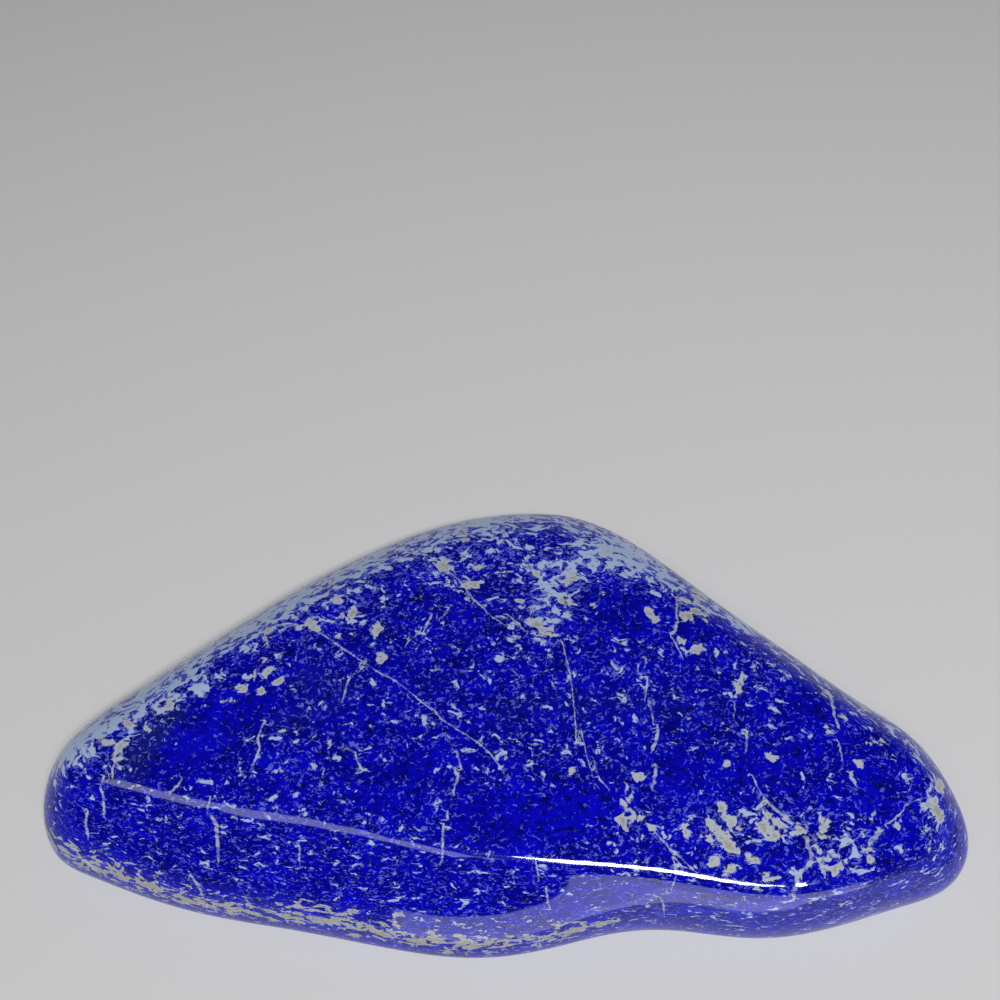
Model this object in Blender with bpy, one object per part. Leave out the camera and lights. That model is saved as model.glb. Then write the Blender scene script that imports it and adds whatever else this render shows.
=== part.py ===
"""Polished free-form lapis lazuli: one thick slab of stone with a domed face.

Metres, +Z up. X runs along the length, -Y is the front with the broad layered wall.
The origin is at the middle of the bounding box on the surface that the stone lies on.
"""
import math
from collections import namedtuple

import bmesh
import bpy
import numpy as np

MM = 0.001

# The polished face: a shallow dome over the whole plan, all in millimetres.
CROWN_HEIGHT = 24.6
CROWN_X = -12.0
CROWN_Y = 2.0
HALF_LENGTH = 106.2
HALF_WIDTH = 56.0
DOME_DROP_ALONG = 4.4
DOME_DROP_ACROSS = 6.4

# Stations round the stone, left end first, then along the front to the right and back.
# rim is the widest line, shoulder is where the wall meets the polished face, soft is how
# far the shoulder is rounded over, and foot is how far the flat underside lies inside the rim.
Station = namedtuple("Station", "rim_x rim_y rim_z shoulder_x shoulder_y soft foot")
STATIONS = [
    Station(-106.4, -18.0, 5.6, -98.0, -17.2, 4.5, 15.0),
    Station(-105.4, -28.4, 4.6, -96.0, -20.4, 4.5, 14.0),
    Station(-101.0, -35.2, 4.0, -91.6, -21.9, 4.5, 13.0),
    Station(-94.0, -38.4, 3.8, -87.4, -23.1, 4.5, 12.5),
    Station(-86.0, -41.2, 3.6, -82.5, -24.3, 4.6, 12.0),
    Station(-68.0, -46.4, 3.4, -65.5, -28.3, 4.8, 12.0),
    Station(-47.0, -49.9, 3.2, -46.0, -30.6, 4.8, 12.0),
    Station(-26.0, -53.6, 3.0, -27.0, -33.7, 3.8, 12.0),
    Station(-6.0, -55.8, 3.0, -7.0, -37.6, 2.8, 12.0),
    Station(9.0, -54.2, 3.0, 8.0, -39.4, 2.4, 11.0),
    Station(22.0, -51.2, 3.2, 21.5, -41.0, 2.2, 10.0),
    Station(36.0, -49.9, 3.4, 35.5, -42.8, 2.2, 9.0),
    Station(56.0, -51.7, 3.2, 55.0, -45.3, 2.2, 9.0),
    Station(75.6, -49.0, 3.2, 73.5, -43.8, 2.4, 10.0),
    Station(91.0, -44.8, 3.6, 86.5, -39.6, 3.0, 12.0),
    Station(102.2, -40.4, 4.4, 93.4, -34.6, 3.4, 14.0),
    Station(106.9, -33.4, 5.4, 97.0, -28.0, 3.6, 15.0),
    Station(105.4, -21.6, 6.4, 97.4, -20.6, 4.2, 16.0),
    Station(98.6, -8.0, 7.4, 91.0, -12.8, 5.6, 18.0),
    Station(86.6, 1.2, 7.8, 80.2, -5.2, 6.2, 19.0),
    Station(74.2, 11.6, 8.2, 67.6, 4.4, 6.6, 20.0),
    Station(51.4, 31.0, 8.4, 45.6, 24.0, 6.8, 20.0),
    Station(33.6, 47.0, 8.4, 27.8, 39.2, 6.8, 20.0),
    Station(20.5, 53.7, 8.4, 17.2, 44.4, 6.8, 20.0),
    Station(6.5, 54.9, 8.4, 5.8, 45.6, 6.8, 20.0),
    Station(-8.0, 53.0, 8.4, -5.6, 44.0, 6.8, 20.0),
    Station(-28.0, 45.9, 8.4, -23.6, 37.4, 6.8, 20.0),
    Station(-57.2, 27.8, 8.2, -52.4, 20.2, 6.8, 20.0),
    Station(-80.4, 10.4, 7.8, -75.6, 3.0, 6.4, 20.0),
    Station(-95.8, -1.4, 7.2, -89.6, -7.0, 5.6, 18.0),
    Station(-104.2, -10.8, 6.4, -96.4, -13.0, 5.0, 16.0),
]

# The face is a grid whose four corners stand at these stations: front left, front right,
# back right and back left.
CORNER_STATIONS = [2, 15, 22, 27]
CELLS_ALONG = 46
CELLS_ACROSS = 22

# The wall leaves the rim upright and reaches the shoulder at a slope. The underside leaves
# the rim upright too and runs out level into the flat foot. All are shares of the curve's
# own rise or reach.
WALL_RISE_AT_RIM = 0.52
WALL_REACH_AT_SHOULDER = 0.42
WALL_DROP_AT_SHOULDER = 0.30
UNDERSIDE_DROP_AT_RIM = 0.60
UNDERSIDE_REACH_AT_FOOT = 0.62

# Rows of faces in each stretch of the section, and how finely its curves are measured.
RINGS_UNDERSIDE = 5
RINGS_WALL = 9
RINGS_SHOULDER = 4
CURVE_SAMPLES = 24

# Hand polishing leaves slow waves in the surface. height and length are in millimetres,
# heading is the way the wave runs in degrees and phase is in radians.
Wave = namedtuple("Wave", "height length heading phase")
POLISH_WAVES = [
    Wave(0.26, 61.0, 20.0, 0.4),
    Wave(0.20, 43.0, 128.0, 2.1),
    Wave(0.14, 29.0, 74.0, 4.4),
]

LAPIS_BLUE = (0.006, 0.007, 0.36, 1.0)
LAPIS_ROUGHNESS = 0.12


def clear_scene():
    """Remove every object, so that the file holds only the stone."""
    for thing in list(bpy.data.objects):
        bpy.data.objects.remove(thing, do_unlink=True)


def lapis_material():
    """Polished lapis: deep blue, not metallic, with a glossy surface."""
    material = bpy.data.materials.new("polished_lapis")
    material.use_nodes = True
    shader = material.node_tree.nodes["Principled BSDF"]
    shader.inputs["Base Color"].default_value = LAPIS_BLUE
    shader.inputs["Roughness"].default_value = LAPIS_ROUGHNESS
    shader.inputs["Metallic"].default_value = 0.0
    return material


def closed_spline(points):
    """Return a smooth closed curve through the rows of points, as a function of its knots."""
    points = np.asarray(points, dtype=float)
    count = len(points)
    following = np.roll(points, -1, axis=0)
    spans = np.hypot(*(following - points)[:, :2].T)
    knots = np.concatenate(([0.0], np.cumsum(spans)))
    system = np.zeros((count, count))
    right_side = np.zeros_like(points)
    for i in range(count):
        before = spans[i - 1]
        after = spans[i]
        system[i, i - 1] += before
        system[i, i] += 2.0 * (before + after)
        system[i, (i + 1) % count] += after
        rise_after = (following[i] - points[i]) / after
        rise_before = (points[i] - points[i - 1]) / before
        right_side[i] = 6.0 * (rise_after - rise_before)
    bends = np.linalg.solve(system, right_side)
    next_bends = np.roll(bends, -1, axis=0)

    def curve(place):
        i = int(np.searchsorted(knots, place % knots[-1], side="right")) - 1
        i = min(max(i, 0), count - 1)
        span = spans[i]
        late = (place % knots[-1] - knots[i]) / span
        early = 1.0 - late
        straight = early * points[i] + late * following[i]
        bow = (early ** 3 - early) * bends[i] + (late ** 3 - late) * next_bends[i]
        return straight + bow * span * span / 6.0

    return curve, knots


def even_places(curve, start, end, cells):
    """Split the curve between two knots into cells of equal length along the rim."""
    fine = np.linspace(start, end, cells * CURVE_SAMPLES + 1)
    rim = np.array([curve(place)[:2] for place in fine])
    travelled = np.concatenate(([0.0], np.cumsum(np.hypot(*np.diff(rim, axis=0).T))))
    wanted = np.linspace(0.0, travelled[-1], cells + 1)[:-1]
    return list(np.interp(wanted, travelled, fine))


def ring_sections():
    """Sample the stations at every column of the mesh, side by side round the stone."""
    curve, knots = closed_spline(STATIONS)
    side_cells = [CELLS_ALONG, CELLS_ACROSS, CELLS_ALONG, CELLS_ACROSS]
    places = []
    for side, cells in enumerate(side_cells):
        start = knots[CORNER_STATIONS[side]]
        end = knots[CORNER_STATIONS[(side + 1) % 4]]
        if end < start:
            end += knots[-1]
        places += even_places(curve, start, end, cells)
    return [Station(*curve(place)) for place in places]


def face_height(x, y):
    """Height of the polished face above the underside."""
    along = (x - CROWN_X) / HALF_LENGTH
    across = (y - CROWN_Y) / HALF_WIDTH
    return CROWN_HEIGHT - DOME_DROP_ALONG * along ** 2 - DOME_DROP_ACROSS * across ** 2


def bezier(points, steps):
    """Points along a Bezier curve, both ends included."""
    rows = []
    for t in np.linspace(0.0, 1.0, steps + 1):
        work = [np.array(point, dtype=float) for point in points]
        while len(work) > 1:
            work = [(1.0 - t) * a + t * b for a, b in zip(work, work[1:])]
        rows.append(work[0])
    return rows


def section_profile(station):
    """The section at one station, from the flat foot up to the edge of the face."""
    rim = np.array([station.rim_x, station.rim_y])
    shoulder = np.array([station.shoulder_x, station.shoulder_y])
    inset = float(np.hypot(*(shoulder - rim)))
    inward = (shoulder - rim) / inset
    rim_z = station.rim_z
    shoulder_z = face_height(*shoulder)
    rise = shoulder_z - rim_z

    underside = bezier([
        (station.foot, 0.0),
        (station.foot * (1.0 - UNDERSIDE_REACH_AT_FOOT), 0.0),
        (0.0, rim_z * (1.0 - UNDERSIDE_DROP_AT_RIM)),
        (0.0, rim_z),
    ], RINGS_UNDERSIDE)

    wall_curve = [
        (0.0, rim_z),
        (0.0, rim_z + WALL_RISE_AT_RIM * rise),
        (inset * (1.0 - WALL_REACH_AT_SHOULDER), shoulder_z - WALL_DROP_AT_SHOULDER * rise),
        (inset, shoulder_z),
    ]
    fine_wall = np.array(bezier(wall_curve, RINGS_WALL * CURVE_SAMPLES))
    travelled = np.concatenate(([0.0], np.cumsum(np.hypot(*np.diff(fine_wall, axis=0).T))))
    marks = np.linspace(0.0, travelled[-1] - station.soft, RINGS_WALL + 1)
    wall_reach = np.interp(marks, travelled, fine_wall[:, 0])
    wall_height = np.interp(marks, travelled, fine_wall[:, 1])
    wall = list(zip(wall_reach, wall_height))

    edge_reach = inset + station.soft
    edge_place = rim + inward * edge_reach
    turn = bezier([
        wall[-1],
        (inset, shoulder_z),
        (edge_reach, face_height(*edge_place)),
    ], RINGS_SHOULDER)

    profile = underside + wall[1:] + turn[1:]
    return [(*(rim + inward * reach), height) for reach, height in profile]


def face_grid(border):
    """Spread the border ring over the face: plan points inside, and the ring's own index."""
    corners = [0, CELLS_ALONG, CELLS_ALONG + CELLS_ACROSS, 2 * CELLS_ALONG + CELLS_ACROSS]
    total = len(border)

    def border_index(i, j):
        if j == 0:
            return i
        if i == CELLS_ALONG:
            return corners[1] + j
        if j == CELLS_ACROSS:
            return corners[2] + CELLS_ALONG - i
        if i == 0:
            return (corners[3] + CELLS_ACROSS - j) % total
        return None

    plan = {}
    for i in range(1, CELLS_ALONG):
        u = i / CELLS_ALONG
        for j in range(1, CELLS_ACROSS):
            v = j / CELLS_ACROSS
            front = border[border_index(i, 0)]
            back = border[border_index(i, CELLS_ACROSS)]
            left = border[border_index(0, j)]
            right = border[border_index(CELLS_ALONG, j)]
            blend = (1.0 - v) * front + v * back + (1.0 - u) * left + u * right
            blend -= (1.0 - u) * (1.0 - v) * border[corners[0]]
            blend -= u * (1.0 - v) * border[corners[1]]
            blend -= u * v * border[corners[2]]
            blend -= (1.0 - u) * v * border[corners[3]]
            plan[i, j] = blend
    return plan, border_index


def polish(x, y, z):
    """Push a point gently in or out along the height, none at the flat foot."""
    share = min(max(z / CROWN_HEIGHT, 0.0), 1.0)
    lift = 0.0
    for wave in POLISH_WAVES:
        heading = math.radians(wave.heading)
        along = x * math.cos(heading) + y * math.sin(heading)
        lift += wave.height * math.sin(2.0 * math.pi * along / wave.length + wave.phase)
    return x, y, z + lift * share


def centre_on_origin(shape):
    """Shift the body so that its bounding box is centred over the origin."""
    places = np.array([point.co for point in shape.verts])
    middle = (places.min(axis=0) + places.max(axis=0)) / 2.0
    bmesh.ops.translate(shape, verts=shape.verts, vec=(-middle[0], -middle[1], 0.0))


def build_stone():
    """Join the rings and the face grid into one closed body."""
    profiles = [section_profile(station) for station in ring_sections()]
    columns = len(profiles)
    rings = len(profiles[0])
    shape = bmesh.new()

    def add_point(x, y, z):
        return shape.verts.new([value * MM for value in polish(x, y, z)])

    points = [[add_point(*profile[ring]) for profile in profiles] for ring in range(rings)]
    for lower, upper in zip(points, points[1:]):
        for column in range(columns):
            beside = (column + 1) % columns
            shape.faces.new((lower[column], lower[beside], upper[beside], upper[column]))

    border = [np.array(profile[-1][:2]) for profile in profiles]
    plan, border_index = face_grid(border)
    inner = {place: add_point(x, y, face_height(x, y)) for place, (x, y) in plan.items()}

    def face_point(i, j):
        index = border_index(i, j)
        return inner[i, j] if index is None else points[-1][index]

    for i in range(CELLS_ALONG):
        for j in range(CELLS_ACROSS):
            shape.faces.new((face_point(i, j), face_point(i + 1, j),
                             face_point(i + 1, j + 1), face_point(i, j + 1)))

    shape.faces.new(list(reversed(points[0])))
    bmesh.ops.recalc_face_normals(shape, faces=shape.faces)
    centre_on_origin(shape)
    mesh = bpy.data.meshes.new("lapis_lazuli")
    shape.to_mesh(mesh)
    shape.free()
    mesh.shade_smooth()
    mesh.materials.append(lapis_material())
    stone = bpy.data.objects.new("lapis_lazuli", mesh)
    bpy.context.scene.collection.objects.link(stone)
    return stone


clear_scene()
build_stone()
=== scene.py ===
"""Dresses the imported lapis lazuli: one polished free-form stone on a plain pale floor.

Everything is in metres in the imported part's own frame, +Z up, with -Y at the layered front
wall. Names that end in _MM, and the places of the marks in the stone, are in millimetres.
"""
import math
from collections import namedtuple

import bmesh
import bpy
import numpy as np
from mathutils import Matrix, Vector
from mathutils import noise


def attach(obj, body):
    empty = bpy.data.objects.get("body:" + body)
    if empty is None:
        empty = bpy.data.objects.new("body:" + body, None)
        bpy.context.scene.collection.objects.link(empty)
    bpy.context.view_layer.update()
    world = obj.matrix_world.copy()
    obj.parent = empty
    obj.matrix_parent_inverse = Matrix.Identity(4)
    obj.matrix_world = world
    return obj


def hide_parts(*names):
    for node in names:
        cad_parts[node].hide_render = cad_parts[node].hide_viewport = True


bl_info = {
    "name": "Polished lapis lazuli",
    "version": (1, 0, 0),
    "blender": (4, 5, 0),
    "location": "3D Viewport > Sidebar > Lapis",
    "description": "Builds a polished free-form lapis lazuli and a plain studio round it",
    "category": "Add Mesh",
}

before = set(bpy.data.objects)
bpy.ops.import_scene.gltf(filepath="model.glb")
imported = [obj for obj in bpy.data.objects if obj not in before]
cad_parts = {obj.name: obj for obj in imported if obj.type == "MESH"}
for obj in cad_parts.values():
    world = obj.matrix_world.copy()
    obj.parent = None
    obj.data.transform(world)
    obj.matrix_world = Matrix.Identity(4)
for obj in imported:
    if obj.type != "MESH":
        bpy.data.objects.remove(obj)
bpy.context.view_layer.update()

MM = 0.001
SOLID = "lapis_lazuli"
STONE = "lapis_stone"

# Zones of the pale flecks and of the blue's tone, drawn in plan. A zone is a path with a
# reach: it counts fully on the path and fades out over the reach.
Zone = namedtuple("Zone", "amount reach path")

# How much of the surface the pale flecks cover, above or below their usual share.
USUAL_FLECKS = 0.30
FLECK_ZONES = [
    Zone(0.50, 11.0, [(-102, -14), (-88, 0), (-70, 12), (-54, 24), (-38, 34), (-22, 45),
                      (-6, 51)]),
    Zone(0.40, 12.0, [(-4, 49), (10, 50), (24, 47), (36, 38)]),
    Zone(0.34, 11.0, [(30, 36), (44, 28), (58, 18)]),
    Zone(0.26, 7.0, [(60, 18), (76, 6), (90, -5), (96, -14)]),
    Zone(0.40, 10.0, [(22, 36), (14, 28), (10, 18)]),
    Zone(0.22, 13.0, [(-18, 33), (-4, 38), (6, 34)]),
    Zone(0.18, 12.0, [(-56, 15), (-42, 18), (-32, 26)]),
    Zone(0.28, 9.0, [(-97, -14), (-86, -11), (-78, -2), (-70, 1)]),
    Zone(0.16, 10.0, [(46, -32), (60, -30), (74, -36)]),
    Zone(0.22, 6.0, [(97, -22), (95, -32)]),
    Zone(-0.30, 10.0, [(-72, -16), (-66, -8), (-58, -4)]),
    Zone(-0.30, 9.0, [(-6, -30), (10, -30), (24, -26)]),
    Zone(-0.22, 8.0, [(36, -18), (50, -20), (62, -17)]),
    Zone(-0.30, 5.0, [(44, 15), (50, 17), (62, 14)]),
    Zone(-0.18, 9.0, [(24, 20), (30, 18)]),
    Zone(-0.20, 7.0, [(70, -4), (74, -8), (88, -30)]),
    Zone(-0.16, 10.0, [(-30, -24), (-18, -20)]),
]

# Where the blue is brighter and purer, or duller and towards navy.
TONE_ZONES = [
    Zone(-0.9, 10.0, [(-84, -18), (-79, -12), (-76, -6)]),
    Zone(-0.5, 8.0, [(-46, 2), (-36, -2), (-50, -10)]),
    Zone(-0.4, 9.0, [(-4, 24), (4, 18)]),
    Zone(-0.4, 12.0, [(0, -6), (24, -4), (48, -6)]),
    Zone(0.9, 9.0, [(-71, -17), (-66, -9), (-60, -3)]),
    Zone(0.8, 11.0, [(-4, -30), (12, -30), (26, -27)]),
    Zone(0.5, 12.0, [(34, -19), (56, -19)]),
    Zone(0.6, 7.0, [(44, 15), (60, 14)]),
    Zone(0.6, 9.0, [(24, 20), (28, 6)]),
    Zone(0.5, 10.0, [(-22, -14), (-12, -22), (-30, -26)]),
    Zone(0.5, 7.0, [(72, -5), (86, -31)]),
]

# Healed cracks filled with white calcite: half the width, and the path in plan.
Vein = namedtuple("Vein", "half_width path")
VEINS = [
    Vein(0.20, [(-20, 36.8), (-17.3, 34.8), (-14.5, 32), (-11, 28.5), (-9.5, 26.5), (-7.5, 23),
                (-5, 20.5)]),
    Vein(0.13, [(-5, 20.5), (-3, 18), (0, 15.8)]),
    Vein(0.13, [(1, 18.5), (3.5, 16), (5.5, 13.5)]),
    Vein(0.20, [(-43.5, 13.5), (-40, 11), (-37, 8.8), (-32.5, 5.8), (-29, 3.3), (-25.5, 1.5),
                (-22, -1.2)]),
    Vein(0.14, [(-22, -1.2), (-19.5, -3.3), (-16.5, -5.8), (-13, -9), (-10, -11), (-6, -13.5),
                (-3, -16), (0, -20)]),
    Vein(0.30, [(-16.2, -5.8), (-15, -7)]),
    Vein(0.14, [(14.2, 11), (14.8, 7), (15.5, 4), (16, -1), (16.4, -8), (16.5, -13)]),
    Vein(0.12, [(17.6, -10), (18.6, -16), (19.6, -20), (20.2, -23)]),
    Vein(0.22, [(20.4, -17.5), (20.6, -20), (21.6, -22.2), (23, -23.5)]),
    Vein(0.28, [(33.8, 7.2), (33.6, 5.5)]),
    Vein(0.26, [(33.8, 2.5), (33.4, 0), (32.8, -2.8)]),
    Vein(0.26, [(33.9, -4.5), (34.1, -6), (34.2, -8.6)]),
    Vein(0.22, [(35.1, -9), (35.3, -11)]),
    Vein(0.42, [(35, -11.5), (34.6, -13), (33.6, -14.8)]),
    Vein(0.42, [(34.3, -18.6), (33.7, -21), (33.1, -23.3)]),
    Vein(0.30, [(27.7, -23), (27, -24.5)]),
    Vein(0.34, [(27.6, -28), (28.8, -29.3)]),
    Vein(0.22, [(32.6, -32.6), (34, -34.2), (35.5, -35.5), (38, -38), (40.8, -40.5)]),
    Vein(0.16, [(35.5, -35.5), (36.5, -38), (36.9, -40), (37, -42), (36.2, -43.5)]),
    Vein(0.18, [(55.5, -20), (56.1, -21.8), (56.9, -24), (58.2, -25.8)]),
    Vein(0.40, [(58.4, -26.2), (60, -27.8), (62, -29.3)]),
    Vein(0.52, [(66.3, -33.4), (66.2, -35), (66.8, -37), (66.6, -38.6), (65, -39.9),
                (63.4, -41.2), (62.9, -43)]),
    Vein(0.62, [(62.9, -43), (62.3, -45)]),
    Vein(0.26, [(66.5, -31), (66.5, -32.4)]),
    Vein(0.60, [(83, -31.6), (81.6, -33), (80, -34.5)]),
    Vein(0.16, [(84, -30.6), (86, -29.6), (88.5, -27.6), (89.4, -26), (91.5, -25.4),
                (93.6, -24.7)]),
    Vein(0.16, [(72.8, -38), (72.7, -36.5), (73.5, -35.2), (75, -35), (77.5, -33.5),
                (78.6, -32.5)]),
    Vein(0.40, [(76.6, 1.5), (76.8, -1), (76.6, -4)]),
    Vein(0.30, [(76.6, -4), (76.3, -6.5), (76.9, -8.7)]),
    Vein(0.18, [(75.8, -11.5), (76.5, -14), (76.5, -16)]),
    Vein(0.40, [(78.3, -19.4), (78, -20.4), (78.8, -21.8)]),
    Vein(0.24, [(42.8, 25), (42.6, 21.5), (42, 19), (42.3, 17.5)]),
    Vein(0.34, [(42.1, 16.6), (41.5, 15), (40.5, 13.8)]),
    Vein(0.20, [(40.6, 12.6), (41.1, 11.2), (41.6, 9.8), (42.3, 8)]),
    Vein(0.30, [(55.5, -10), (55.3, -12), (54.9, -14.6)]),
    Vein(0.20, [(53.4, -3), (53.3, -5), (53, -6.8)]),
    Vein(0.28, [(-17, 18.5), (-18, 16), (-18.9, 14)]),
    Vein(0.28, [(-20, 13.8), (-21, 12.3)]),
    Vein(0.22, [(-22, 12), (-22.8, 10.5)]),
    Vein(0.22, [(-13, 20.5), (-13.2, 19.5), (-14.8, 17.5)]),
    Vein(0.30, [(-57, 7), (-55.5, 6.5), (-56.3, 5), (-57.8, 3.5), (-57.5, 2)]),
    Vein(0.26, [(-56.4, 12.8), (-55.5, 10)]),
    Vein(0.26, [(-32, 6.5), (-32.5, 5), (-33, 4)]),
    Vein(0.22, [(-35.3, 2), (-36, 0.5), (-36.2, -1.5), (-36.6, -3.2)]),
    Vein(0.26, [(-54, -8.5), (-54.8, -10.5), (-55.3, -12.5), (-54.6, -14.5), (-55, -16.5),
                (-55.7, -18.5)]),
    Vein(0.22, [(-35.5, -14.5), (-33, -16), (-32.3, -18), (-31.5, -19.5), (-30, -20)]),
    Vein(0.30, [(-10.3, -15.8), (-9.9, -17.4), (-9.2, -19.4)]),
    Vein(0.22, [(-9.8, -20.5), (-9.9, -22), (-10.5, -23), (-10.9, -24.5)]),
    Vein(0.22, [(-12.3, -28), (-12, -30.4)]),
    Vein(0.26, [(-12.8, -31.4), (-13, -33.5), (-12.9, -36.5), (-13.1, -38.5)]),
    Vein(0.20, [(7, -39), (7.6, -41.5)]),
    Vein(0.26, [(-89, -20.5), (-89.6, -22.8), (-88.7, -25), (-88.5, -28)]),
    Vein(0.22, [(-86.8, -16.8), (-87.3, -19), (-87, -21)]),
    Vein(0.34, [(-92.5, -27), (-93, -29.5), (-92.4, -31.5)]),
    Vein(0.24, [(-95.2, -33.8), (-95.2, -35), (-93, -36.5), (-91, -38)]),
    Vein(0.40, [(-64.3, -28.5), (-62.7, -31), (-62.5, -34), (-62.2, -37)]),
    Vein(0.26, [(-68.5, -40), (-66.5, -42.5), (-65.3, -45)]),
    Vein(0.30, [(-71.2, -21.2), (-72, -22.8), (-73.3, -24)]),
    Vein(0.22, [(-64.4, -25.4), (-65, -28)]),
    Vein(0.22, [(-44, -35.2), (-44.2, -38)]),
    Vein(0.24, [(9.3, -43.6), (9.7, -46.5)]),
    Vein(0.24, [(33.8, -44.8), (34.8, -47)]),
]

# Pale lumps of calcite: half the width of each, and the path of its middle in plan.
Lump = namedtuple("Lump", "half_width path")
LUMPS = [
    Lump(1.3, [(-14.8, 32.6), (-13.2, 31.2)]),
    Lump(1.0, [(-7.9, 27.2), (-7.0, 26.6)]),
    Lump(0.9, [(-6.4, 31.2), (-4.8, 32.6)]),
    Lump(0.6, [(-8.5, 22.6)]),
    Lump(0.6, [(3.5, 22.5), (4.4, 22.5)]),
    Lump(0.7, [(7.9, 30), (8.9, 29.9)]),
    Lump(0.8, [(-9.8, 41.6), (-9, 41.2)]),
    Lump(0.9, [(-9.4, 44), (-9.6, 46)]),
    Lump(1.4, [(15, 22), (16.6, 21.6)]),
    Lump(1.5, [(16, 27.8), (17.4, 29.2)]),
    Lump(0.8, [(8.2, 15.6), (9.6, 13.5), (11.5, 13.2)]),
    Lump(0.7, [(6, 17.6), (6.6, 17.2)]),
    Lump(0.8, [(22, 21)]),
    Lump(1.0, [(26.2, 37.6), (26.8, 37)]),
    Lump(1.4, [(44.4, 19), (45.4, 18.8)]),
    Lump(1.1, [(46.6, 20.6), (49.8, 19.6)]),
    Lump(0.9, [(47.6, 28), (48.4, 24.2)]),
    Lump(1.0, [(43.8, 24), (44.8, 23)]),
    Lump(1.2, [(49.6, 27.6), (50.2, 27)]),
    Lump(1.0, [(35.4, 19.8), (36.4, 17.8)]),
    Lump(1.0, [(46, 9.6), (47.4, 10)]),
    Lump(0.6, [(42.2, 12.2), (43, 11.6)]),
    Lump(1.1, [(-28.9, 7.4), (-28.6, 6.4)]),
    Lump(0.9, [(-30.9, 14.4), (-29.6, 14.8)]),
    Lump(0.7, [(-39, 12.5)]),
    Lump(0.9, [(-46.4, 16.8), (-44.6, 14.6)]),
    Lump(1.0, [(-41.2, 23), (-39.8, 22)]),
    Lump(0.8, [(-43.2, 25), (-42.6, 28)]),
    Lump(1.0, [(-56.6, 15.2), (-56.2, 14.4)]),
    Lump(0.8, [(-49.2, 15)]),
    Lump(1.0, [(-51.8, 1.2), (-51, 1.8)]),
    Lump(0.8, [(-55.7, -1.6)]),
    Lump(0.7, [(-54.6, 3.8), (-53.6, 3.8)]),
    Lump(0.9, [(-61, -0.4), (-60.2, -0.8)]),
    Lump(0.42, [(-41.4, 15.8), (-38.4, 18.6)]),
    Lump(0.8, [(-36.4, 18.8), (-35.6, 19.2)]),
    Lump(0.6, [(-38.7, -13.3)]),
    Lump(0.5, [(-41.7, -18.8)]),
    Lump(0.8, [(-62.8, -4.4), (-62.2, -4.2)]),
    Lump(1.0, [(-77, -3.2), (-76.8, -4)]),
    Lump(0.8, [(-81, -9.7)]),
    Lump(0.7, [(-93.2, -16.8)]),
    Lump(1.3, [(-91, -12.2), (-89.6, -13)]),
    Lump(1.2, [(-86.6, -13.6), (-87.4, -15.4)]),
    Lump(1.1, [(-86.2, -7.2), (-86, -8.6)]),
    Lump(0.4, [(15, -19.9), (15.8, -19.9)]),
    Lump(0.7, [(29.3, -20.6), (30.3, -21)]),
    Lump(0.8, [(25.5, -30.2), (26.2, -31.2)]),
    Lump(0.75, [(27.2, -26), (27.3, -27.4)]),
    Lump(0.55, [(29, -30.3), (29.9, -30)]),
    Lump(0.85, [(31.7, -31.6), (32.4, -32.3)]),
    Lump(0.5, [(50, -18), (50.7, -18)]),
    Lump(0.8, [(60.4, -15.7), (60.2, -16.2)]),
    Lump(0.6, [(61.6, -13.1)]),
    Lump(0.7, [(40, -32.2), (40, -33)]),
    Lump(0.5, [(44.3, -29.7)]),
    Lump(1.1, [(57.4, -29.2), (58.2, -29.6)]),
    Lump(1.3, [(56.2, -31.4), (58.8, -32.8)]),
    Lump(0.7, [(60.4, -31.2), (61.4, -31.8)]),
    Lump(0.9, [(64.8, -31.4), (65, -32)]),
    Lump(0.8, [(43.6, -32.8), (45.2, -34)]),
    Lump(1.0, [(45.8, -31.8), (48.8, -34.4)]),
    Lump(0.9, [(48.4, -36), (49.8, -35.8)]),
    Lump(0.8, [(44.8, -38.6), (45.8, -38)]),
    Lump(0.8, [(47.4, -40.4), (48.8, -40.2)]),
    Lump(0.8, [(52.4, -36.8), (54.4, -38.2)]),
    Lump(0.8, [(56, -42), (56.8, -41.8)]),
    Lump(1.0, [(48, -27.4), (48.2, -28.6)]),
    Lump(0.7, [(50, -30.6), (51.2, -31.8)]),
    Lump(0.8, [(70.4, -30), (71.2, -30.4)]),
    Lump(0.8, [(68.4, -33.2), (70.4, -32.6)]),
    Lump(0.9, [(68.4, -36.8), (69.8, -38.4)]),
    Lump(0.7, [(68.8, -39.8), (70, -39.8)]),
    Lump(0.9, [(71.6, -40), (72.8, -38.8)]),
    Lump(0.8, [(80, -36.4), (79.4, -37.8)]),
    Lump(0.6, [(86.8, -31), (87.2, -31)]),
    Lump(0.9, [(78.4, -6.6)]),
    Lump(0.55, [(81.8, -12.2), (83.6, -12.6)]),
    Lump(0.6, [(86, -11.8), (86.4, -12.2)]),
    Lump(0.9, [(84.8, -3), (85.8, -3.4)]),
    Lump(0.45, [(80, -17.2), (80.8, -17.4)]),
    Lump(0.9, [(54.3, 1.2), (54.8, -0.4)]),
    Lump(0.6, [(53.4, -2.6)]),
    Lump(0.5, [(56.5, 2.8)]),
    Lump(0.5, [(33.4, -4.2), (34.2, -4.1)]),
    Lump(0.7, [(74.2, -10), (75, -10)]),
    Lump(1.5, [(95.8, -25.6), (97, -28)]),
    Lump(1.3, [(98.2, -22), (99.2, -20.6)]),
]

# One layer that is rich in calcite runs through the stone level with the middle of the wall.
LAYER_HEIGHT_MM = 9.6
LAYER_HALF_MM = 0.8
LAYER_FADES_AT_MM = 12.0
LAYER_FADE_LENGTH_MM = 30.0

# The layer rises and falls slowly, and its edge is drawn in by the last of these where it
# has faded out.
LAYER_WAVE_MM = 1.6
LAYER_WAVE_LENGTH_MM = 26.0
LAYER_WAVE_SEED = 3.7
LAYER_FADED_BY_MM = 4.0

# A mark counts for nothing from this distance on.
OUT_OF_REACH_MM = 9.0

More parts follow.
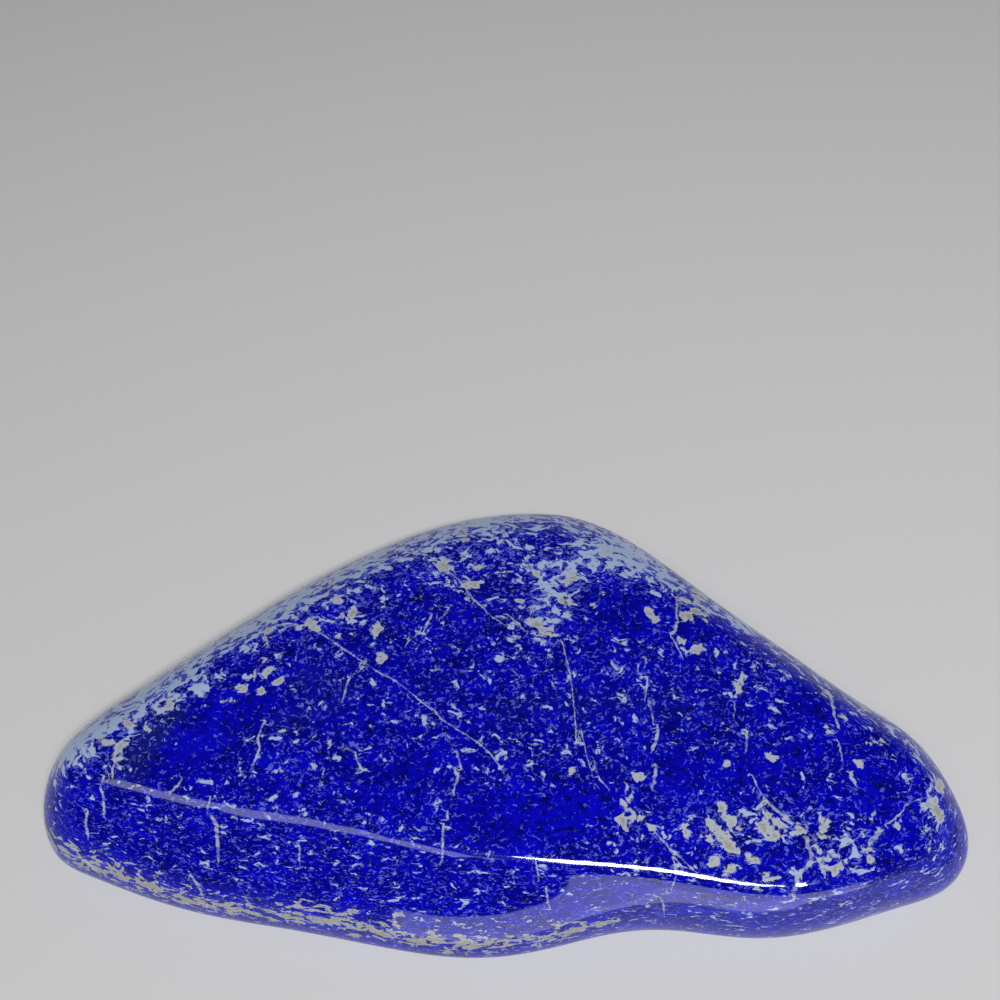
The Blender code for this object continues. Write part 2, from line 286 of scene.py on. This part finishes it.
# The polish's slow ripple, and the half width from which a vein is worn below the polish.
RIPPLE_LENGTH_MM = 7.0
WIDE_VEIN_MM = 0.38
WORN_FULLY_WITHIN_MM = 0.2
WORN_OUT_TO_MM = 1.4

# The flat underside isn't worn: wear starts at the first height and is full at the second.
WEAR_STARTS_MM = 0.5
WEAR_IS_FULL_MM = 2.0

# The layering inside the stone: patterns are this much thinner upright than they are long,
# and a little longer along X.
LAYER_SQUEEZE = 3.0
DRAWN_OUT = 0.82

# How far, and over what length, the layering drifts from straight.
DRIFT_MM = (3.4, 3.4, 2.2)
DRIFT_LENGTH_MM = 9.0

# Sizes of the patterns. The finest grains of such a stone are too small to show in the
# render, so grains and mist are drawn coarser, at about a millimetre.
TONE_MM = 7.0
MOTTLE_MM = 2.4
DARK_GRAIN_MM = 1.5
MIST_MM = 0.95
GRAIN_MM = 0.9

# The studio: half the floor's side, and where the lights stand.
FLOOR_HALF = 3.0
KEY_PLACE = (0.204, -0.492, 1.056)
SIDE_PLACE = (-0.40, -0.49, 1.02)
LOW_PANEL_PLACE = (0.05, -0.14, 0.012)
LOW_PANEL_FACES = (0.05, 0.0, 0.012)

# The camera looks down at the stone from the front, tilted this far from straight down.
CAMERA_PLACE = (-0.00062, -0.09966, 0.2547)
CAMERA_TILT_DEG = 33.2
CAMERA_LENS_MM = 38.52
CAMERA_SENSOR_MM = 36.0

# Sockets of the colour mix node.
MIX_A = 6
MIX_B = 7
MIX_RESULT = 2


def colour(code):
    """Turn an sRGB hex code into the linear colour that a shader takes."""
    shares = [int(code[i:i + 2], 16) / 255.0 for i in (0, 2, 4)]
    return tuple(s / 12.92 if s <= 0.04045 else ((s + 0.055) / 1.055) ** 2.4 for s in shares)


def opaque(value):
    """Add the full alpha that a colour socket takes."""
    return (*value, 1.0)


def hue(name, description, code):
    """A colour that the user can change, with its default as an sRGB hex code."""
    return bpy.props.FloatVectorProperty(
        name=name, description=description, subtype="COLOR", size=3, min=0.0, max=1.0,
        default=colour(code))


class LapisStoneSettings(bpy.types.PropertyGroup):
    """Sizes and colours of the stone."""

    smoothing: bpy.props.IntProperty(
        name="Smoothing", default=2, min=0, max=3,
        description="How many times each face of the solid is split in four and rounded")
    ripple: bpy.props.FloatProperty(
        name="Ripple", default=0.00005, min=0.0, max=0.0005, unit="LENGTH", precision=5,
        description="Height of the faint unevenness that polishing leaves")
    crack_depth: bpy.props.FloatProperty(
        name="Crack depth", default=0.00012, min=0.0, max=0.001, unit="LENGTH", precision=5,
        description="How far the widest calcite veins are worn below the polish")
    deep_blue: hue("Deep blue", "The darker lazurite grains", "00008C")
    bright_blue: hue("Bright blue", "The purest lazurite grains", "0404D2")
    navy: hue("Navy", "Dull patches with dark grains", "1A2468")
    soot: hue("Dark grains", "The near-black grains between the flecks", "02043C")
    fleck: hue("Flecks", "The pale flecks on the face", "B4C8EE")
    haze: hue("Haze", "The fine pale mist between the flecks", "5F6CE0")
    calcite: hue("Calcite", "The whitest calcite", "BEC6D2")
    beige: hue("Beige", "The beige-grey heart of the calcite lumps", "A6A498")


class LapisStageSettings(bpy.types.PropertyGroup):
    """The plain studio round the stone."""

    floor: hue("Floor", "The plain pale floor", "E4E4E4")
    horizon: hue("Surroundings", "The studio's far walls", "8C8C8C")
    ceiling: hue("Ceiling", "The dark above the lights", "303030")
    key_power: bpy.props.FloatProperty(
        name="Key light", default=10.0, min=0.0, max=200.0, unit="POWER",
        description="Power of the long soft box over the front of the stone")
    side_power: bpy.props.FloatProperty(
        name="Side light", default=0.8, min=0.0, max=50.0, unit="POWER",
        description="Power of the dim soft box that carries the key light on to the left")
    panel_power: bpy.props.FloatProperty(
        name="Low panel", default=0.1, min=0.0, max=10.0, unit="POWER",
        description="Power of the low panel that shows only as a sheen on the front wall")


def add_node(tree, kind, settings=None, inputs=None):
    """Add one node, set its own settings, and link or set its inputs."""
    node = tree.nodes.new(kind)
    for name, value in (settings or {}).items():
        setattr(node, name, value)
    for name, value in (inputs or {}).items():
        if isinstance(value, bpy.types.NodeSocket):
            tree.links.new(value, node.inputs[name])
        else:
            node.inputs[name].default_value = value
    return node


def path_distance(spots, path):
    """Distance in plan from every spot to a path, and the side of the path it lies on."""
    path = np.asarray(path, dtype=float)
    nearest = np.hypot(*(spots - path[0]).T)
    side = np.ones(len(spots))
    for start, end in zip(path, path[1:]):
        along = end - start
        share = np.clip((spots - start) @ along / (along @ along), 0.0, 1.0)
        away = spots - start - share[:, None] * along
        distance = np.hypot(*away.T)
        closer = distance < nearest
        nearest[closer] = distance[closer]
        turn = along[0] * away[:, 1] - along[1] * away[:, 0]
        side[closer] = np.where(turn[closer] < 0.0, -1.0, 1.0)
    return nearest, side


def fade(value, full, none):
    """Go smoothly from 1 at full to 0 at none."""
    share = np.clip((value - none) / (full - none), 0.0, 1.0)
    return share * share * (3.0 - 2.0 * share)


def zone_sum(spots, zones):
    """Add up what every zone gives at every spot."""
    total = np.zeros(len(spots))
    for zone in zones:
        distance, _ = path_distance(spots, zone.path)
        total += zone.amount * fade(distance, 0.0, zone.reach)
    return total


def fine_skin(levels):
    """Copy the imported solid, join its triangles into four-sided faces and round them finely."""
    shape = bmesh.new()
    shape.from_mesh(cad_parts[SOLID].data)
    bmesh.ops.remove_doubles(shape, verts=shape.verts, dist=0.01 * MM)
    bmesh.ops.join_triangles(
        shape, faces=shape.faces, angle_face_threshold=math.radians(50.0),
        angle_shape_threshold=math.radians(60.0))
    mesh = bpy.data.meshes.new(STONE)
    shape.to_mesh(mesh)
    shape.free()
    coarse = bpy.data.objects.new(STONE, mesh)
    bpy.context.scene.collection.objects.link(coarse)
    rounding = coarse.modifiers.new("Rounding", "SUBSURF")
    rounding.levels = levels
    rounding.render_levels = levels
    depsgraph = bpy.context.evaluated_depsgraph_get()
    fine = bpy.data.meshes.new_from_object(coarse.evaluated_get(depsgraph))
    bpy.data.objects.remove(coarse, do_unlink=True)
    bpy.data.meshes.remove(mesh)
    fine.name = STONE
    return fine


def mesh_vectors(mesh, kind):
    """Read the mesh's places or normals as rows of three numbers."""
    values = np.empty(3 * len(mesh.vertices), dtype=np.float32)
    source = mesh.vertices if kind == "co" else mesh.vertex_normals
    source.foreach_get(kind, values)
    return values.reshape(-1, 3).astype(float)


def write_attribute(mesh, name, values):
    """Store one number, or one row of three, at every point of the mesh."""
    kind = "FLOAT" if values.ndim == 1 else "FLOAT_VECTOR"
    field = "value" if values.ndim == 1 else "vector"
    attribute = mesh.attributes.new(name, kind, "POINT")
    attribute.data.foreach_set(field, values.astype(np.float32).ravel())


def mark_stone(mesh):
    """Write where flecks, tones, veins and calcite lie, from the marks drawn in plan."""
    places = mesh_vectors(mesh, "co") / MM
    normals = mesh_vectors(mesh, "vector")
    spots = places[:, :2]
    upper = fade(normals[:, 2], 0.25, -0.05)

    flecks = USUAL_FLECKS + upper * zone_sum(spots, FLECK_ZONES)
    write_attribute(mesh, "flecks", np.clip(flecks, 0.0, 1.0))
    write_attribute(mesh, "tone", upper * zone_sum(spots, TONE_ZONES))

    wave = np.array([
        noise.noise(Vector((x / LAYER_WAVE_LENGTH_MM, y / LAYER_WAVE_LENGTH_MM, LAYER_WAVE_SEED)))
        for x, y in spots])
    layer = np.abs(places[:, 2] - LAYER_HEIGHT_MM - LAYER_WAVE_MM * wave) - LAYER_HALF_MM
    faded_at = LAYER_FADES_AT_MM + LAYER_FADE_LENGTH_MM
    layer += LAYER_FADED_BY_MM * (1.0 - fade(places[:, 0], LAYER_FADES_AT_MM, faded_at))
    write_attribute(mesh, "layer", layer)

    lumps = np.full(len(spots), OUT_OF_REACH_MM)
    for lump in LUMPS:
        distance, _ = path_distance(spots, lump.path)
        lumps = np.minimum(lumps, distance - lump.half_width)
    lumps += OUT_OF_REACH_MM * (1.0 - upper)
    write_attribute(mesh, "lumps", lumps)

    # Each point keeps its nearest vein's side distance, plain distance and half width.
    nearest = np.full(len(spots), OUT_OF_REACH_MM)
    veins = np.tile((OUT_OF_REACH_MM, OUT_OF_REACH_MM, 0.1), (len(spots), 1))
    for vein in VEINS:
        distance, side = path_distance(spots, vein.path)
        closer = distance - vein.half_width < nearest
        nearest[closer] = (distance - vein.half_width)[closer]
        veins[closer, 0] = (side * distance)[closer]
        veins[closer, 1] = distance[closer]
        veins[closer, 2] = vein.half_width
    veins[:, 1] += OUT_OF_REACH_MM * (1.0 - upper)
    write_attribute(mesh, "veins", veins)
    return veins


def wear_surface(mesh, veins, settings):
    """Lower the polish by a slow ripple, and further along the widest veins."""
    places = mesh_vectors(mesh, "co")
    normals = mesh_vectors(mesh, "vector")
    length = RIPPLE_LENGTH_MM * MM
    ripple = np.array([noise.noise(Vector(place / length)) for place in places])
    drop = settings.ripple * (0.5 + 0.5 * ripple)
    wide = veins[:, 2] > WIDE_VEIN_MM
    groove = fade(veins[:, 1], WORN_FULLY_WITHIN_MM, WORN_OUT_TO_MM)
    drop += settings.crack_depth * wide * groove
    drop *= fade(places[:, 2], WEAR_IS_FULL_MM * MM, WEAR_STARTS_MM * MM)
    worn = places - drop[:, None] * normals
    mesh.vertices.foreach_set("co", worn.astype(np.float32).ravel())
    mesh.update()


def fleck_mask(tree, mottle, cover, gain, edge, soft):
    """Pale where a mottle rises above an edge, which drops where the flecks cover more."""
    raised = add_node(tree, "ShaderNodeMath", {"operation": "MULTIPLY_ADD"},
                      {0: cover, 1: gain, 2: mottle}).outputs[0]
    return add_node(tree, "ShaderNodeMapRange", {"interpolation_type": "SMOOTHSTEP"},
                    {"Value": raised, "From Min": edge, "From Max": edge + soft}).outputs["Result"]


def polished_lapis(settings):
    """Lapis lazuli, sawn, ground and hand-polished.

    Lazurite gives the deep blue, in small grains of differing brightness. White calcite shows
    as flecks, as thin healed cracks and as a beige layer. The polish is glossy all over and a
    little duller on the calcite, which is softer.
    """
    material = bpy.data.materials.new("hand_polished_lapis_lazuli")
    material.use_nodes = True
    tree = material.node_tree
    shader = tree.nodes["Principled BSDF"]
    mix_colours = {"data_type": "RGBA"}

    # Places are in millimetres, bent by the drift and squeezed into layers.
    metres = add_node(tree, "ShaderNodeTexCoord").outputs["Object"]
    place = add_node(tree, "ShaderNodeVectorMath", {"operation": "SCALE"},
                     {0: metres, "Scale": 1.0 / MM}).outputs[0]
    drift = add_node(tree, "ShaderNodeTexNoise", None,
                     {"Vector": place, "Scale": 1.0 / DRIFT_LENGTH_MM,
                      "Detail": 2.0}).outputs["Color"]
    drifted = add_node(tree, "ShaderNodeVectorMath", {"operation": "MULTIPLY_ADD"},
                       {0: drift, 1: DRIFT_MM, 2: place}).outputs[0]
    layered = add_node(tree, "ShaderNodeVectorMath", {"operation": "MULTIPLY"},
                       {0: drifted, 1: (DRAWN_OUT, 1.0, LAYER_SQUEEZE)}).outputs[0]

    flecks = add_node(tree, "ShaderNodeAttribute", {"attribute_name": "flecks"}).outputs["Fac"]
    tone = add_node(tree, "ShaderNodeAttribute", {"attribute_name": "tone"}).outputs["Fac"]
    lumps = add_node(tree, "ShaderNodeAttribute", {"attribute_name": "lumps"}).outputs["Fac"]
    layer = add_node(tree, "ShaderNodeAttribute", {"attribute_name": "layer"}).outputs["Fac"]
    veins = add_node(tree, "ShaderNodeAttribute", {"attribute_name": "veins"}).outputs["Vector"]
    vein = add_node(tree, "ShaderNodeSeparateXYZ", None, {0: veins})

    slow = add_node(tree, "ShaderNodeTexNoise", None,
                    {"Vector": layered, "Scale": 1.0 / TONE_MM, "Detail": 2.0}).outputs["Fac"]
    mottle = add_node(tree, "ShaderNodeTexNoise", None,
                      {"Vector": layered, "Scale": 1.0 / MOTTLE_MM, "Detail": 3.0,
                       "Roughness": 0.62, "Distortion": 0.5}).outputs["Fac"]
    mist = add_node(tree, "ShaderNodeTexNoise", None,
                    {"Vector": layered, "Scale": 1.0 / MIST_MM, "Detail": 2.0,
                     "Roughness": 0.6, "Distortion": 0.9}).outputs["Fac"]
    dark = add_node(tree, "ShaderNodeTexNoise", {"noise_dimensions": "4D"},
                    {"Vector": layered, "W": 5.0, "Scale": 1.0 / DARK_GRAIN_MM,
                     "Detail": 2.0}).outputs["Fac"]
    grains = add_node(tree, "ShaderNodeTexVoronoi", None,
                      {"Vector": layered, "Scale": 1.0 / GRAIN_MM}).outputs["Color"]

    # Blue grains differ in brightness, and dull or dark ones lie between them.
    grain_light = add_node(tree, "ShaderNodeSeparateColor", None, {0: grains}).outputs[0]
    light = add_node(tree, "ShaderNodeMath", {"operation": "MULTIPLY_ADD"},
                     {0: grain_light, 1: 0.35, 2: slow}).outputs[0]
    light = add_node(tree, "ShaderNodeMath", {"operation": "MULTIPLY_ADD"},
                     {0: tone, 1: 0.16, 2: light}).outputs[0]
    light = add_node(tree, "ShaderNodeMapRange", None,
                     {"Value": light, "From Min": 0.45, "From Max": 0.95}).outputs["Result"]
    blue = add_node(tree, "ShaderNodeMix", mix_colours,
                    {0: light, MIX_A: opaque(settings.deep_blue),
                     MIX_B: opaque(settings.bright_blue)}).outputs[MIX_RESULT]
    dull = add_node(tree, "ShaderNodeMapRange", None,
                    {"Value": tone, "From Min": -0.25, "From Max": -1.0,
                     "To Max": 0.6}).outputs["Result"]
    blue = add_node(tree, "ShaderNodeMix", mix_colours,
                    {0: dull, MIX_A: blue, MIX_B: opaque(settings.navy)}).outputs[MIX_RESULT]
    soot = add_node(tree, "ShaderNodeMapRange", {"interpolation_type": "SMOOTHSTEP"},
                    {"Value": dark, "From Min": 0.56, "From Max": 0.66,
                     "To Max": 0.75}).outputs["Result"]
    blue = add_node(tree, "ShaderNodeMix", mix_colours,
                    {0: soot, MIX_A: blue, MIX_B: opaque(settings.soot)}).outputs[MIX_RESULT]

    # Fine mist first, then the larger flecks over it.
    haze = fleck_mask(tree, mist, flecks, gain=0.20, edge=0.62, soft=0.10)
    pale = fleck_mask(tree, mottle, flecks, gain=0.34, edge=0.70, soft=0.07)
    body = add_node(tree, "ShaderNodeMix", mix_colours,
                    {0: haze, MIX_A: blue, MIX_B: opaque(settings.haze)}).outputs[MIX_RESULT]
    body = add_node(tree, "ShaderNodeMix", mix_colours,
                    {0: pale, MIX_A: body, MIX_B: opaque(settings.fleck)}).outputs[MIX_RESULT]

    # The edge of each lump is broken up by the same mottle as the flecks.
    ragged = add_node(tree, "ShaderNodeMath", {"operation": "MULTIPLY_ADD"},
                      {0: mottle, 1: -4.0, 2: 2.0}).outputs[0]
    lump_edge = add_node(tree, "ShaderNodeMath", {"operation": "MULTIPLY_ADD"},
                         {0: ragged, 1: 1.6, 2: lumps}).outputs[0]
    layer_edge = add_node(tree, "ShaderNodeMath", {"operation": "MULTIPLY_ADD"},
                          {0: ragged, 1: 6.0, 2: layer}).outputs[0]
    calcite_edge = add_node(tree, "ShaderNodeMath", {"operation": "MINIMUM"},
                            {0: lump_edge, 1: layer_edge}).outputs[0]
    calcite = add_node(tree, "ShaderNodeMapRange", {"interpolation_type": "SMOOTHSTEP"},
                       {"Value": calcite_edge, "From Min": 0.25,
                        "From Max": -0.35}).outputs["Result"]
    heart = add_node(tree, "ShaderNodeMapRange", {"interpolation_type": "SMOOTHSTEP"},
                     {"Value": calcite_edge, "From Min": -0.4,
                      "From Max": -1.5}).outputs["Result"]
    lump = add_node(tree, "ShaderNodeMix", mix_colours,
                    {0: heart, MIX_A: opaque(settings.calcite),
                     MIX_B: opaque(settings.beige)}).outputs[MIX_RESULT]
    body = add_node(tree, "ShaderNodeMix", mix_colours,
                    {0: calcite, MIX_A: body, MIX_B: lump}).outputs[MIX_RESULT]

    # A vein's side distance is nudged so that the line wanders, and its width comes and goes.
    wander = add_node(tree, "ShaderNodeMath", {"operation": "MULTIPLY_ADD"},
                      {0: mist, 1: 0.9, 2: -0.45}).outputs[0]
    offset = add_node(tree, "ShaderNodeMath", {"operation": "ADD"},
                      {0: vein.outputs[0], 1: wander}).outputs[0]
    offset = add_node(tree, "ShaderNodeMath", {"operation": "ABSOLUTE"}, {0: offset}).outputs[0]
    width = add_node(tree, "ShaderNodeMath", {"operation": "MULTIPLY"},
                     {0: vein.outputs[2], 1: mottle}).outputs[0]
    inside = add_node(tree, "ShaderNodeMath", {"operation": "MULTIPLY"},
                      {0: width, 1: 1.7}).outputs[0]
    inside = add_node(tree, "ShaderNodeMath", {"operation": "SUBTRACT"},
                      {0: inside, 1: offset}).outputs[0]
    inside = add_node(tree, "ShaderNodeMapRange", {"interpolation_type": "SMOOTHSTEP"},
                      {"Value": inside, "From Min": -0.10, "From Max": 0.10}).outputs["Result"]
    near = add_node(tree, "ShaderNodeMapRange", None,
                    {"Value": vein.outputs[1], "From Min": 1.3, "From Max": 0.9}).outputs["Result"]
    broken = add_node(tree, "ShaderNodeMapRange", None,
                      {"Value": mottle, "From Min": 0.36, "From Max": 0.56,
                       "To Min": 0.15, "To Max": 0.9}).outputs["Result"]
    near = add_node(tree, "ShaderNodeMath", {"operation": "MULTIPLY"},
                    {0: near, 1: broken}).outputs[0]
    filled = add_node(tree, "ShaderNodeMath", {"operation": "MULTIPLY"},
                      {0: inside, 1: near}).outputs[0]
    body = add_node(tree, "ShaderNodeMix", mix_colours,
                    {0: filled, MIX_A: body, MIX_B: opaque(settings.calcite)}).outputs[MIX_RESULT]
    tree.links.new(body, shader.inputs["Base Color"])

    # Calcite is softer than lazurite, so it takes less polish.
    soft = add_node(tree, "ShaderNodeMath", {"operation": "MAXIMUM"},
                    {0: calcite, 1: filled}).outputs[0]
    rough = add_node(tree, "ShaderNodeMapRange", None,
                     {"Value": soft, "To Min": 0.06, "To Max": 0.16}).outputs["Result"]
    tree.links.new(rough, shader.inputs["Roughness"])
    shader.inputs["IOR"].default_value = 1.6
    return material


class LAPIS_OT_polish_stone(bpy.types.Operator):
    """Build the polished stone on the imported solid."""

    bl_idname = "lapis.polish_stone"
    bl_label = "Polish stone"

    def execute(self, context):
        settings = context.scene.lapis_stone
        mesh = fine_skin(settings.smoothing)
        veins = mark_stone(mesh)
        wear_surface(mesh, veins, settings)
        mesh.materials.clear()
        mesh.materials.append(polished_lapis(settings))
        mesh.shade_smooth()
        stone = bpy.data.objects.new(STONE, mesh)
        context.scene.collection.objects.link(stone)
        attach(stone, "root")
        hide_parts(SOLID)
        return {"FINISHED"}


def soft_box(context, name, width, depth, power, place, target):
    """A rectangular soft light that faces a target and that the camera doesn't see."""
    light = bpy.data.lights.new(name, "AREA")
    light.shape = "RECTANGLE"
    light.size = width
    light.size_y = depth
    light.energy = power
    lamp = bpy.data.objects.new(name, light)
    lamp.visible_camera = False
    lamp.location = place
    way = Vector(target) - Vector(place)
    lamp.rotation_euler = way.to_track_quat("-Z", "Y").to_euler()
    context.scene.collection.objects.link(lamp)
    return lamp


class LAPIS_OT_set_stage(bpy.types.Operator):
    """Lay the plain floor and set the lights and the camera."""

    bl_idname = "lapis.set_stage"
    bl_label = "Set stage"

    def execute(self, context):
        settings = context.scene.lapis_stage
        floor_mesh = bpy.data.meshes.new("studio_floor")
        half = FLOOR_HALF
        corners = [(-half, -half, 0.0), (half, -half, 0.0), (half, half, 0.0), (-half, half, 0.0)]
        floor_mesh.from_pydata(corners, [], [(0, 1, 2, 3)])

        # Uncoated matt paper scatters light evenly, so it shows soft shadows and no reflection.
        paper = bpy.data.materials.new("matt_paper")
        paper.use_nodes = True
        shader = paper.node_tree.nodes["Principled BSDF"]
        shader.inputs["Base Color"].default_value = opaque(settings.floor)
        shader.inputs["Roughness"].default_value = 0.9
        shader.inputs["Specular IOR Level"].default_value = 0.0
        floor_mesh.materials.append(paper)
        floor = bpy.data.objects.new("studio_floor", floor_mesh)
        context.scene.collection.objects.link(floor)

        # The surroundings go from grey walls to a dark ceiling, which keeps the face deep blue.
        world = bpy.data.worlds.new("studio")
        world.use_nodes = True
        tree = world.node_tree
        way = add_node(tree, "ShaderNodeTexCoord").outputs["Generated"]
        rise = add_node(tree, "ShaderNodeSeparateXYZ", None, {0: way}).outputs[2]
        share = add_node(tree, "ShaderNodeMapRange", None,
                         {"Value": rise, "From Min": 0.05, "From Max": 0.45}).outputs["Result"]
        sky = add_node(tree, "ShaderNodeMix", {"data_type": "RGBA"},
                       {0: share, MIX_A: opaque(settings.horizon),
                        MIX_B: opaque(settings.ceiling)}).outputs[MIX_RESULT]
        tree.links.new(sky, tree.nodes["Background"].inputs["Color"])
        context.scene.world = world
        context.scene.view_settings.view_transform = "Standard"

        middle = (0.0, 0.0, 0.0)
        soft_box(context, "key_soft_box", 0.50, 0.22, settings.key_power, KEY_PLACE, middle)
        soft_box(context, "side_soft_box", 0.70, 0.16, settings.side_power, SIDE_PLACE, middle)
        low_panel = soft_box(context, "low_panel", 0.20, 0.10, settings.panel_power,
                             LOW_PANEL_PLACE, LOW_PANEL_FACES)
        low_panel.visible_diffuse = False

        lens = bpy.data.cameras.new("camera")
        lens.sensor_width = CAMERA_SENSOR_MM
        lens.lens = CAMERA_LENS_MM
        camera = bpy.data.objects.new("camera", lens)
        camera.location = CAMERA_PLACE
        camera.rotation_euler = (math.radians(CAMERA_TILT_DEG), 0.0, 0.0)
        context.scene.collection.objects.link(camera)
        context.scene.camera = camera
        return {"FINISHED"}


class LAPIS_PT_sidebar(bpy.types.Panel):
    """The stone's sizes and colours in the 3D view's sidebar."""

    bl_idname = "LAPIS_PT_sidebar"
    bl_label = "Lapis lazuli"
    bl_space_type = "VIEW_3D"
    bl_region_type = "UI"
    bl_category = "Lapis"

    def draw(self, context):
        for settings, operator in (
            (context.scene.lapis_stone, LAPIS_OT_polish_stone),
            (context.scene.lapis_stage, LAPIS_OT_set_stage),
        ):
            column = self.layout.column()
            for name in settings.__annotations__:
                column.prop(settings, name)
            column.operator(operator.bl_idname)


CLASSES = (
    LapisStoneSettings,
    LapisStageSettings,
    LAPIS_OT_polish_stone,
    LAPIS_OT_set_stage,
    LAPIS_PT_sidebar,
)


def register():
    """Add the classes and the settings that each scene holds."""
    for kind in CLASSES:
        bpy.utils.register_class(kind)
    bpy.types.Scene.lapis_stone = bpy.props.PointerProperty(type=LapisStoneSettings)
    bpy.types.Scene.lapis_stage = bpy.props.PointerProperty(type=LapisStageSettings)


def unregister():
    """Take the settings and the classes away again."""
    del bpy.types.Scene.lapis_stage
    del bpy.types.Scene.lapis_stone
    for kind in reversed(CLASSES):
        bpy.utils.unregister_class(kind)


def main():
    """Build the stone and the stage."""
    register()
    bpy.ops.lapis.polish_stone()
    bpy.ops.lapis.set_stage()


if __name__ == "__main__":
    main()
